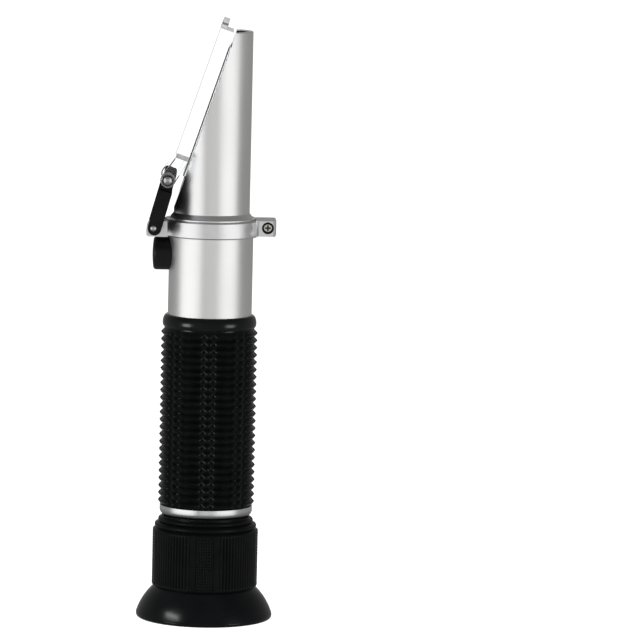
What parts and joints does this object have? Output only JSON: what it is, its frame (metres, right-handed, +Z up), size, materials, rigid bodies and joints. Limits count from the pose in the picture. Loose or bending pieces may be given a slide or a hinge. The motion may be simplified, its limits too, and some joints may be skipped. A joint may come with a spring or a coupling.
{
  "type": "handheld refractometer",
  "caption": "Handheld refractometer: aluminium tube with a slanted prism head, hinged clear cover, ribbed rubber grip and a focusing eyepiece with a flared eyecup.",
  "frame": {"origin": "centre of the eyecup's rim, on the surface the instrument stands on", "axes": "+Z up along the optical axis, towards the prism; -X towards the prism face and its cover; Y along the hinge and clamp screw"},
  "size_m": [0.0382, 0.0382, 0.1691],
  "materials": {
    "satin_aluminium": "satin bead-blasted and clear anodised",
    "cast_aluminium": "satin casting, edges polished",
    "bright_aluminium": "bright turned",
    "black_anodised": "matt black anodised",
    "grip_rubber": "satin moulded rubber",
    "eyecup_rubber": "satin moulded rubber",
    "cap_rubber": "matt moulded rubber",
    "focus_ring_plastic": "satin moulded, fine ribs",
    "link_plastic": "satin black moulding",
    "black_plastic": "matt black moulding",
    "seal_rubber": "matt",
    "clear_acrylic": "clear polished acrylic",
    "prism_glass": "polished optical glass, dark at its edges",
    "lens_glass": "polished optical glass",
    "screw_steel": "plated steel",
    "pin_steel": "bright plated steel",
    "brass": "turned brass",
    "bimetal": "rolled strip"
  },
  "bodies": {
    "tube_body": {"main_tube": "satin_aluminium", "head_gasket": "seal_rubber", "hinge_collar": "cast_aluminium", "clamp_screw": "screw_steel", "clamp_nut": "screw_steel", "grip_sleeve": "grip_rubber", "prism_head": "satin_aluminium", "prism": "prism_glass", "prism_seal": "seal_rubber", "prism_carrier": "black_plastic", "light_baffle": "black_plastic", "hinge_pin": "pin_steel", "calibration_bush": "brass", "strip_screws": "screw_steel", "optics_carrier": "black_anodised", "scale_glass": "lens_glass", "scale_retainer": "black_anodised", "field_stop": "black_anodised", "end_ring": "bright_aluminium", "focus_tube": "black_anodised", "guide_pin": "screw_steel"},
    "hinge_link": {"hinge_link": "link_plastic", "cover_pins": "pin_steel"},
    "cover": {"cover_plate": "clear_acrylic"},
    "lens_carriage": {"lens_barrel": "black_anodised", "eye_lens": "lens_glass", "lens_spacer": "black_anodised", "field_lens": "lens_glass", "lens_retainer": "black_anodised"},
    "focus_ring": {"focus_ring": "focus_ring_plastic", "eyecup": "eyecup_rubber", "barrel_circlip": "screw_steel"},
    "calibration_cap": {"calibration_cap": "cap_rubber"},
    "calibration_screw": {"calibration_screw": "brass"},
    "objective": {"objective_cell": "black_anodised", "objective_lens": "lens_glass", "bimetal_strip": "bimetal", "strip_rivets": "pin_steel"}
  },
  "joints": [
    {"name": "cover_link_swing", "type": "hinge", "parent": "tube_body", "child": "hinge_link", "pos_m": [-0.0161, 0, 0.1107], "axis": [0, -1, 0], "range_deg": [0, 110]},
    {"name": "cover_lift", "type": "hinge", "parent": "hinge_link", "child": "cover", "pos_m": [-0.01237, 0, 0.12411], "axis": [0, -1, 0], "range_deg": [0, 45]},
    {"name": "focus_slide", "type": "slide", "parent": "tube_body", "child": "lens_carriage", "axis": [0, 0, 1], "range_m": [-0.004, 0]},
    {"name": "focus_turn", "type": "hinge", "parent": "lens_carriage", "child": "focus_ring", "pos_m": [0, 0, 0.017], "axis": [0, 0, 1], "range_deg": [0, 120]},
    {"name": "cap_pull", "type": "slide", "parent": "tube_body", "child": "calibration_cap", "axis": [-1, 0, 0], "range_m": [0, 0.0065]},
    {"name": "calibration_turn", "type": "hinge", "parent": "tube_body", "child": "calibration_screw", "pos_m": [-0.012, 0, 0.1027], "axis": [1, 0, 0], "range_deg": [-144, 144]},
    {"name": "objective_shift", "type": "hinge", "parent": "tube_body", "child": "objective", "pos_m": [0.00901, 0, 0.074], "axis": [0, 1, 0], "range_deg": [-0.396, 0.396]}
  ],
  "couplings": [
    {"joint": "focus_slide", "follows": "focus_turn", "m_per_rad": -0.0019098},
    {"joint": "objective_shift", "follows": "calibration_turn", "ratio": 0.002745}
  ]
}
